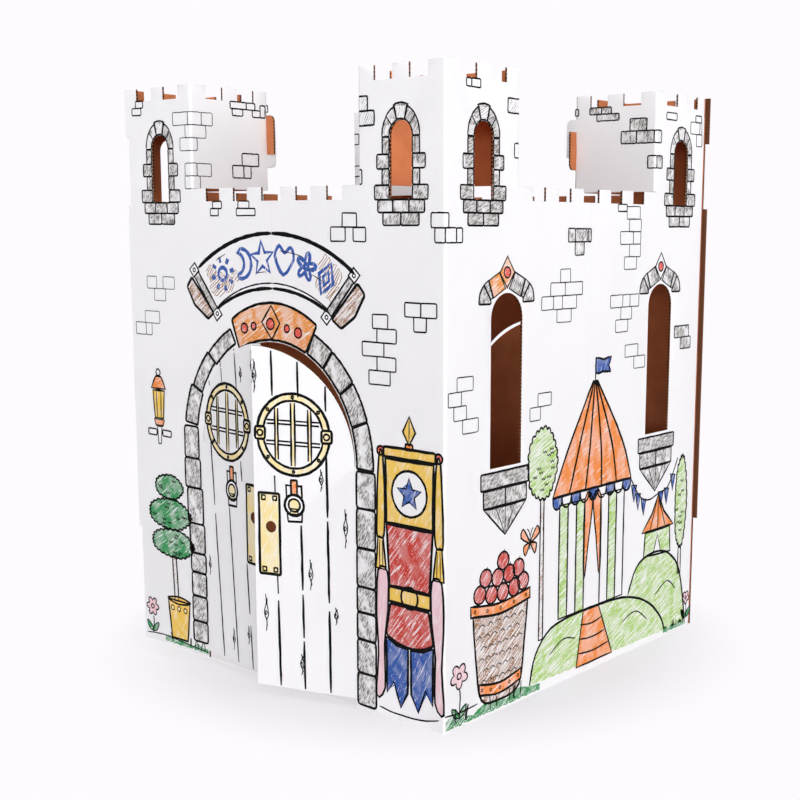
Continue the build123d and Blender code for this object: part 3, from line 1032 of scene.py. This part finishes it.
def leaf_fittings(page, hub, knocker, plate, hole):
    """Round barred window, knocker and handle plate of one door leaf."""
    x, z = hub

    def half_bar(off):
        return math.sqrt(59 ** 2 - off ** 2) - 3
    for reach in (72, 60):
        page.patch(ring(hub, reach, 5.0), "straw")
    for radius, width, half in ((72.5, 4.6, 8.0), (60.0, 3.8, 10.5)):
        page.pen(arc(hub, radius, -90 + half, 90 - half, 6.0), width)
        page.pen(arc(hub, radius, 90 + half, 270 - half, 6.0), width)
    for off, reach in ((-33, 3.0), (0, 3.8), (33, 3.0)):
        half = half_bar(off)
        bar = [(-reach, -half), (reach, -half), (reach, half), (-reach, half)]
        page.patch(at(bar, x + off, z), "straw")
        for edge in (-reach, reach):
            page.pen([(x + off + edge, z - half), (x + off + edge, z + half)], 3.4)
    for off in (-16, 21):
        half = half_bar(off)
        for edge in (-3.2, 3.2):
            for start, end in ((-half, -36), (-31, -4), (4, 31), (36, half)):
                page.pen([(x + start, z + off + edge), (x + end, z + off + edge)], 4.4, stray=0.5)
    for turn in (0, 50, 130, 180, 230, 310):
        spot = arc(hub, 66.0, turn, turn + 1, 99)[0]
        page.disc(spot, 2.3, None, 3.0, 2.0)
    for side in (-1, 1):
        spot = (x + side * 66.5, z)
        page.slab(spot[0] - 10, z - 11, spot[0] + 10, z + 11, "straw", 4.2, 4.0, 1)
        page.disc(spot, 5.5, "straw", 3.2, 3.0, 2)
    kx, kz = knocker
    for points, width in (([(-15, 14), (-16, 35), (-7, 35)], 4.2), ([(7, 35), (15, 35), (16, 14)], 5.0),
                          ([(-14, -13), (-13, -29)], 4.2), ([(16, -12), (15, -29)], 5.0),
                          ([(-13, -30), (16, -29)], 6.4)):
        page.pen(at(points, kx, kz), width)
    page.slab(kx - 6, kz + 19, kx + 6, kz + 45, "orange", 3.6, 1.5, 1)
    page.disc(knocker, 19, "straw", 4.6, 4.0, 1)
    page.patch(ring(knocker, 17.0, 4.0), "white", 2)
    page.patch(ring(knocker, 10.0, 4.0), "straw", 3)
    page.disc(knocker, 11.5, None, 3.6, 3.5)
    page.slab(kx - 7, kz - 16, kx + 7, kz - 7, "straw", 2.8, 1.0, 4)
    for side in (-1, 1):
        page.pen(at([(9, -24), (10, -24)], kx, kz, side), 2.4)
    left, low, right, high = plate
    outline = block(left, low, right, high, 2.5)
    page.patch(outline, "straw")
    page.patch(ring(hole, 10.6, 3.0), "straw")
    for end in ((low + 16, hole[1] - 14), (hole[1] + 14, high - 16)):
        page.rub(block(left + 3, end[0], right - 3, end[1]), "ochre")
    page.pen(outline, 4.4, closed=True)
    for px in (left + 9.5, right - 9.5):
        for pz in (low + 8.5, high - 8.5):
            page.slab(px - 3.8, pz - 3.8, px + 3.8, pz + 3.8, None, 2.8, 0.8)


def knot(page, x, z, tall):
    """A knot in a plank: long wavy grain lines round a small eye."""
    half = tall / 2
    for grain in (((-1, -1), (1, -0.5), (-3.6, 0), (0, 0.55), (-1, 1)),
                  ((2, -0.7), (1, -0.4), (4.4, 0), (1.5, 0.5), (2, 0.8))):
        page.curve([(x + off, z + half * up) for off, up in grain], 1.8)
    page.blob(at([(-1.5, -4), (2, 0), (-1, 4)], x, z), None, 1.6)


def arch_height(reach):
    """Height of the leaf's arched top at a distance from its hinge, kept inside the board."""
    off = ARCH_RADIUS - reach
    return ARCH_CENTRE[1] + math.sqrt(max(ARCH_RADIUS ** 2 - off ** 2, 0.0)) - 4.5


# Operators

def build_board(node_name, shown_name, seed_spot):
    """Copies a packed sheet, welds the copy and gives its three kinds of face their finishes."""
    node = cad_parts[node_name]
    choose([node])
    bpy.ops.object.duplicate(linked=False)
    sheet = bpy.context.view_layer.objects.active
    sheet.name = shown_name
    sheet.data.name = shown_name
    sheet.data.materials.clear()
    for name in ("edge", "liner", "kraft"):
        sheet.data.materials.append(MADE[name])
    bpy.ops.object.mode_set(mode="EDIT")
    bpy.ops.mesh.select_all(action="SELECT")
    bpy.ops.mesh.remove_doubles(threshold=0.02 * MM)
    bpy.ops.mesh.delete_loose()
    bpy.ops.mesh.select_mode(type="FACE")
    for slot, depth, facing in ((1, 0.0, -1.0), (2, BOARD, 1.0)):
        bpy.ops.mesh.select_all(action="DESELECT")
        bpy.ops.object.mode_set(mode="OBJECT")
        target = Vector((seed_spot[0], seed_spot[1] * (1 - depth / (WALL / 2)), seed_spot[2])) * MM
        wanted = Vector((0.0, facing if seed_spot[1] < 0 else -facing, 0.0))
        best = min((f for f in sheet.data.polygons if f.normal.dot(wanted) > 0.99
                    and abs(f.center.y - target.y) < 0.5 * MM), key=lambda f: (f.center - target).length)
        best.select = True
        bpy.ops.object.mode_set(mode="EDIT")
        bpy.ops.mesh.faces_select_linked_flat(sharpness=math.radians(60))
        sheet.active_material_index = slot
        bpy.ops.object.material_slot_assign()
    bpy.ops.mesh.select_all(action="DESELECT")
    bpy.ops.object.mode_set(mode="OBJECT")
    choose([sheet])
    bpy.ops.object.shade_smooth_by_angle(angle=math.radians(50))
    weighted = sheet.modifiers.new("Flat faces first", "WEIGHTED_NORMAL")
    weighted.keep_sharp = True
    bpy.ops.object.modifier_apply(modifier=weighted.name)
    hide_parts(node_name)
    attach(sheet, "root")
    return sheet


class CASTLE_OT_board(bpy.types.Operator):
    """Finish both folded sheets: white liner outside, kraft liner inside, fluted cut edges"""
    bl_idname = "castle.board"
    bl_label = "Folded board"

    def execute(self, context):
        MADE["edge"], MADE["liner"], MADE["kraft"] = fluted_edge(), white_liner(), kraft_liner()
        MADE["white"] = MADE["liner"]
        build_board("front_folded_sheet", "front_board", (-300.0, -406.0, 700.0))
        build_board("rear_folded_sheet", "rear_board", (300.0, 406.0, 700.0))
        return {"FINISHED"}


class CASTLE_OT_door_wall(bpy.types.Operator):
    """Draw the door wall: windows, name board, arch stones, lantern, tree, standard and bricks"""
    bl_idname = "castle.door_wall"
    bl_label = "Door wall drawing"

    def execute(self, context):
        page = Drawing("front_door_wall", "door_wall", 11)
        tower_window(page, WINDOW_MIDDLE)
        tower_window(page, WALL - WINDOW_MIDDLE)
        banner(page)
        arch_stones(page)
        lantern(page)
        tiered_tree(page)
        daisy(page, (26, 70), 19)
        grass(page, 66, 200, 6, 20)
        page.curve([(6, 12), (60, 17), (110, 14), (200, 9)], 2.2)
        standard(page)
        page.curve([(664, 14), (700, 10), (760, 12), (800, 22)], 2.4)
        page.bricks(SMALL, (13, 1049, (0, 28), (11, 23)), (240, 858, (0, 23), (7, 25)),
                    (313, 858, (0, 51), (5, 30)))
        page.bricks(FINE, (43, 695, (22, 35), (0, 30, -20, 35)), (3, 627, (0, 32, 19), (30, 46)))
        page.bricks(PLAIN, (555, 815, (0, 35, -19, 29), (28, 34)), (725, 671, (20, 27), (0, 35, 34)),
                    (643, 578, (0, 49), (19, 43), (-15, 50), (19, 44), (9, 35)))
        page.finish()
        return {"FINISHED"}


class CASTLE_OT_window_wall(bpy.types.Operator):
    """Draw the window wall: window stones, hoods, sills, basket, pavilion and bricks"""
    bl_idname = "castle.window_wall"
    bl_label = "Window wall drawing"

    def execute(self, context):
        page = Drawing("front_window_wall", "window_wall", 23)
        tower_window(page, WINDOW_MIDDLE, "dark_stone")
        tower_window(page, WALL - WINDOW_MIDDLE)
        window_hood(page, 160.0, "amber")
        window_hood(page, WALL - 160.0, None)
        window_sill(page, 160.0)
        window_sill(page, WALL - 160.0)
        grass(page, 4, 268, 5, 27, 12)
        grass(page, 700, 790, 5, 18, 5)
        page.curve([(2, 30), (40, 27), (88, 29)], 2.4)
        fruit_basket(page)
        pavilion(page)
        daisy(page, (38, 92), 22, 5)
        daisy(page, (790, 62), 14, 5)
        page.bricks(SMALL, (50, 1060, (0, 13, 23)), (494, 870, (0, 31)), (658, 1048, (0, 39)),
                    (770, 1049, (0, 23)))
        page.bricks(THIN, (8, 504, (36, 41), (14, 32), (0, 33), (22, 41)), (228, 504, (0, 31), (23, 40)),
                    (304, 673, (0, 44), (-46, 35, 27, 44), (-20, 44, 54), (9, 31)))
        page.bricks(SHADED, (335, 791, (22, 28), (0, 22, 40, 10)))
        page.bricks(THIN, (519, 762, (0, 43), (17, 39), (-15, 45, 26), (15, 42), (6, 46)),
                    (494, 644, (0, 42), (17, 38), (-19, 42, 25, 32)), (561, 571, (0, 40), (-32, 46)))
        page.bricks(SHADED, (735, 597, (0, 40), (-25, 57)))
        page.bricks(THIN, (751, 1002, (24, 22), (0, 36, 8)))
        page.finish()
        return {"FINISHED"}


class CASTLE_OT_towers(bpy.types.Operator):
    """Draw the bricks that run round the towers' folds and round the near corner"""
    bl_idname = "castle.towers"
    bl_label = "Bricks round the folds"

    def execute(self, context):
        page = Drawing("front_left_tower", "door_wall", 31, fold_at=TOWER)
        page.bricks(FINE, (157, 978, (0, 47), (16, 52), (-20, 44, 34, 26)),
                    (169, 908, (0, 40), (1, 32, 34)))
        page.bricks(SMALL, (290, 1048, (0, 26, -24, 20), (-5, 40, 22)))
        page.bricks(PLAIN, (360, 1048, (0, 13)), (288, 931, (0, 28, 18), (24, 42)))
        page.finish()
        page = Drawing("front_corner", "door_wall", 37, fold_at=WALL)
        page.bricks(PLAIN, (790, 815, (0, 22, 27, 15), (-8, 38)))
        page.finish()
        page = Drawing("near_tower_door_fold", "near_tower_flap", 41, fold_at=TOWER)
        page.bricks(SHADED_BOLD, (153, 1003, (0, 37, 37), (37, 22)))
        page.bricks(PLAIN, (156, 909, (0, 42)))
        page.finish()
        page = Drawing("near_tower_window_fold", "window_wall", 43, fold_at=TOWER)
        page.bricks(SHADED, (157, 1026, (0, 50)))
        page.bricks(PLAIN, (176, 954, (0, 40)))
        page.finish()
        page = Drawing("front_right_tower", "right_tower_flap", 47, fold_at=TOWER)
        page.bricks(SHADED, (110, 1002, (0, 35, 40, 24), (20, 38)), (172, 954, (0, 22, 20)))
        page.bricks(SHADED_SMALL, (52, 1048, (0, 52), (-17, 28, 23)))
        page.bricks(SMALL, (0, 1060, (0, 8)))
        page.finish()
        return {"FINISHED"}


class CASTLE_OT_leaves(bpy.types.Operator):
    """Draw the planks and fittings of the two door leaves"""
    bl_idname = "castle.leaves"
    bl_label = "Door leaf drawings"

    def execute(self, context):
        def plank(page, side, reach_low, reach_high, gaps):
            """One seam between planks, which leans from its reach at the foot to that at the top."""
            low, top = 17.0, arch_height(reach_high)
            breaks = [low, *gaps, top]
            for start, end in zip(breaks[::2], breaks[1::2]):
                def place(z):
                    reach = reach_low + (reach_high - reach_low) * (z - low) / (top - low)
                    return (reach if side == "left" else LEAF_WIDTH - reach, z)
                page.pen([place(start), place(end)], 4.2 if side == "right" else 3.2)

        page = Drawing("front_right_leaf", "right_leaf", 53)
        hub = (LEAF_WIDTH - 121.5, 479)
        leaf_fittings(page, hub, (LEAF_WIDTH - 121, 353), (LEAF_WIDTH - 193, 223, LEAF_WIDTH - 151, 371),
                      (LEAF_WIDTH - 169, 310))
        plank(page, "right", 52, 57, (168, 182, 330, 336, 452, 524))
        plank(page, "right", 104, 111, (106, 112, 192, 200, 318, 546))
        plank(page, "right", 154, 163, (176, 188, 222, 373, 404, 546))
        for x, z, tall in ((20, 320, 70), (67, 402, 40), (40, 160, 32), (90, 230, 56), (182, 150, 70),
                           (110, 62, 40), (198, 580, 60)):
            knot(page, min(LEAF_WIDTH - x, LEAF_WIDTH - 6), z, tall)
        page.finish()

        page = Drawing("front_left_leaf", "left_leaf", 59)
        leaf_fittings(page, (86, 478), (97, 350), (146, 222, 189, 370), (168.5, 310))
        plank(page, "left", 57, 20, (296, 312, 442, 506))
        plank(page, "left", 107, 68, (316, 552))
        plank(page, "left", 157, 115, (100, 122, 218, 372, 410, 540))
        for x, z, tall in ((12, 190, 40), (92, 60, 44), (172, 590, 60), (144, 80, 36), (134, 572, 30)):
            knot(page, x, z, tall)
        page.finish()
        return {"FINISHED"}


class CASTLE_OT_rear_print(bpy.types.Operator):
    """Print the rear sheet with the same lines, turned half round and left without colour"""
    bl_idname = "castle.rear_print"
    bl_label = "Rear sheet print"

    def execute(self, context):
        half_turn = Matrix.Rotation(math.pi, 4, "Z")
        for name in ("front_door_wall", "front_window_wall", "front_left_tower", "front_corner",
                     "near_tower_door_fold", "near_tower_window_fold", "front_right_tower",
                     "front_right_leaf", "front_left_leaf"):
            choose([bpy.data.objects[f"{name}_ink"]])
            bpy.ops.object.duplicate(linked=False)
            copy = bpy.context.view_layer.objects.active
            copy.name = f"rear_{name.removeprefix('front_')}_ink"
            copy.data.name = copy.name
            copy.data.transform(half_turn)
            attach(copy, "root")
        return {"FINISHED"}


class CASTLE_OT_stage(bpy.types.Operator):
    """Set up the floor, the light and the camera"""
    bl_idname = "castle.stage"
    bl_label = "Studio"

    def execute(self, context):
        stage = context.scene.castle_stage
        bpy.ops.object.select_all(action="DESELECT")
        bpy.ops.mesh.primitive_plane_add(size=40.0, location=(0.0, 0.0, -0.0004))
        floor = context.active_object
        floor.name = "studio_floor"
        bpy.ops.object.transform_apply(location=True)
        floor.data.materials.append(self.floor_finish(stage))
        self.sky(context, stage)
        self.soft_light("rear_key_light", (-4.0, 1.7, 0.9), 10.0, stage.rear)
        self.soft_light("rear_fill_light", (-1.0, 3.8, 0.5), 12.0, stage.rear)
        self.spot("tower_spot", (0.9, -0.32, 2.3), (0.216, -0.311, 0.99), 9.0, stage.tower_spot)
        self.spot("hole_spot", (-0.1, 0.1, 0.3), (-0.402, -0.09, 0.185), 40.0, stage.hole_spot)
        self.camera(context, stage.lens)
        context.scene.view_settings.view_transform = "Standard"
        return {"FINISHED"}

    def floor_finish(self, stage):
        """Pale seamless paper: keeps the soft shadow near the castle and fades to white away from it.

        Inside the walls the floor is dark brown, painted shade that keeps the room behind the windows dim.
        """
        material, tree, shader = start_material("seamless_studio_paper")
        shader.inputs["Roughness"].default_value = 1.0
        shader.inputs["Specular IOR Level"].default_value = 0.0
        spot, place = object_place(tree)
        reach = maths(tree, "MAXIMUM", *[maths(tree, "ABSOLUTE", place[axis]) for axis in "XY"])
        outside = ramp(tree, reach, (WALL / 2 - 5.0) * MM, (WALL / 2 - 2.0) * MM)
        # Painted shade: dark brown floor inside the walls, pale paper outside them
        tone = mixed(tree, outside, tuple(stage.mat), tuple(stage.floor))
        tree.links.new(tone, shader.inputs["Base Color"])
        far = add(tree, "ShaderNodeVectorMath", {"operation": "LENGTH"}, {0: spot}).outputs["Value"]
        seen = add(tree, "ShaderNodeLightPath").outputs["Is Camera Ray"]
        lift = maths(tree, "MULTIPLY", eased(tree, far, 0.42, 0.7, 0.7, 1.0), seen)
        white = add(tree, "ShaderNodeEmission", inputs={"Color": rgba(stage.backdrop)})
        blend = add(tree, "ShaderNodeMixShader",
                    inputs={0: lift, 1: shader.outputs["BSDF"], 2: white.outputs["Emission"]})
        out = next(n for n in tree.nodes if n.type == "OUTPUT_MATERIAL")
        tree.links.new(blend.outputs["Shader"], out.inputs["Surface"])
        return material

    def sky(self, context, stage):
        """Light from the pale walls round the studio and little from its ceiling; the camera sees white."""
        world = bpy.data.worlds.new("white_studio")
        context.scene.world = world
        world.use_nodes = True
        tree = world.node_tree
        tree.nodes.clear()
        aim = add(tree, "ShaderNodeTexCoord").outputs["Generated"]
        up = add(tree, "ShaderNodeSeparateXYZ", inputs={0: aim}).outputs["Z"]

        def wall(heading, strength):
            """Light of one studio wall, strongest straight towards it."""
            turn = math.radians(heading)
            facing = add(tree, "ShaderNodeVectorMath", {"operation": "DOT_PRODUCT"},
                         {0: aim, 1: (math.cos(turn), math.sin(turn), 0.0)}).outputs["Value"]
            return eased(tree, facing, 0.2, 0.95, 0.0, strength)
        walls = maths(tree, "ADD", wall(-15.0, stage.right_wall), wall(-70.0, stage.front_wall))
        low, high = math.sin(math.radians(WALLS_FULL)), math.sin(math.radians(WALLS_END))
        light = add(tree, "ShaderNodeBackground", inputs={
            "Color": rgba((1.0, 1.0, 1.0)), "Strength": eased(tree, up, low, high, walls, stage.ceiling)})
        white = add(tree, "ShaderNodeBackground", inputs={"Color": rgba(stage.backdrop)})
        seen = add(tree, "ShaderNodeLightPath").outputs["Is Camera Ray"]
        blend = add(tree, "ShaderNodeMixShader",
                    inputs={0: seen, 1: light.outputs["Background"], 2: white.outputs["Background"]})
        add(tree, "ShaderNodeOutputWorld", inputs={"Surface": blend.outputs["Shader"]})

    def lamp(self, name, kind, place, target, strength):
        """A lamp that shines from one place towards another."""
        data = bpy.data.lights.new(name, kind)
        data.energy = strength
        made = bpy.data.objects.new(name, data)
        bpy.context.scene.collection.objects.link(made)
        made.location = place
        made.rotation_euler = (Vector(target) - Vector(place)).to_track_quat("-Z", "Y").to_euler()
        return data

    def soft_light(self, name, place, spread, strength):
        """A far light of a wide spread, in degrees, that shines from a place towards the castle."""
        self.lamp(name, "SUN", place, (0.0, 0.0, 0.0), strength).angle = math.radians(spread)

    def spot(self, name, place, target, cone, power):
        """A spot that warms one part of the kraft inside. The cone is in degrees."""
        data = self.lamp(name, "SPOT", place, target, power)
        data.spot_size = math.radians(cone)
        data.spot_blend = 0.6
        data.shadow_soft_size = 0.06

    def camera(self, context, lens):
        """The photograph's view: place and aim from its straight edges, in the castle's own frame."""
        yaw, pitch, roll = -0.689767, 0.155065, -0.005080
        ahead = Vector((math.sin(yaw) * math.cos(pitch), math.cos(yaw) * math.cos(pitch), -math.sin(pitch)))
        right = Vector((math.cos(yaw), -math.sin(yaw), 0.0))
        down = ahead.cross(right)
        across = right * math.cos(roll) + down * math.sin(roll)
        below = down * math.cos(roll) - right * math.sin(roll)
        data = bpy.data.cameras.new("photograph_view")
        data.sensor_width = 36.0
        data.lens = lens
        axis_across, axis_down, frame_px = 467.96, 428.21, 800.0
        data.shift_x = 0.5 - axis_across / frame_px
        data.shift_y = axis_down / frame_px - 0.5
        data.clip_end = 100.0
        camera = bpy.data.objects.new("photograph_view", data)
        context.scene.collection.objects.link(camera)
        turned = Matrix((across, -below, -ahead)).transposed().to_4x4()
        camera.matrix_world = Matrix.Translation((1.74081, -1.96593, 0.84055)) @ turned
        context.scene.camera = camera


class CASTLE_PT_panel(bpy.types.Panel):
    """Steps of the castle, in order"""
    bl_label = "Card castle"
    bl_idname = "CASTLE_PT_panel"
    bl_space_type = "VIEW_3D"
    bl_region_type = "UI"
    bl_category = "Castle"

    def draw(self, context):
        for group in GROUPS:
            box = self.layout.box()
            values = getattr(context.scene, group)
            for name in values.__annotations__:
                box.prop(values, name)
        for step in STEPS:
            self.layout.operator(step.bl_idname)


STEPS = (CASTLE_OT_board, CASTLE_OT_door_wall, CASTLE_OT_window_wall, CASTLE_OT_towers, CASTLE_OT_leaves,
         CASTLE_OT_rear_print, CASTLE_OT_stage)
GROUPS = {"castle_board": CASTLE_PG_board, "castle_drawing": CASTLE_PG_drawing,
          "castle_stage": CASTLE_PG_stage}
CLASSES = (*GROUPS.values(), *STEPS, CASTLE_PT_panel)


def register():
    """Adds the steps, their settings and the panel."""
    for one in CLASSES:
        bpy.utils.register_class(one)
    for name, group in GROUPS.items():
        setattr(bpy.types.Scene, name, PointerProperty(type=group))


def unregister():
    """Takes the steps and their settings out again."""
    for name in GROUPS:
        delattr(bpy.types.Scene, name)
    for one in reversed(CLASSES):
        bpy.utils.unregister_class(one)


def main():
    """Dresses the castle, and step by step."""
    register()
    bpy.ops.castle.board()
    bpy.ops.castle.door_wall()
    bpy.ops.castle.window_wall()
    bpy.ops.castle.towers()
    bpy.ops.castle.leaves()
    bpy.ops.castle.rear_print()
    bpy.ops.castle.stage()


if __name__ == "__main__":
    main()
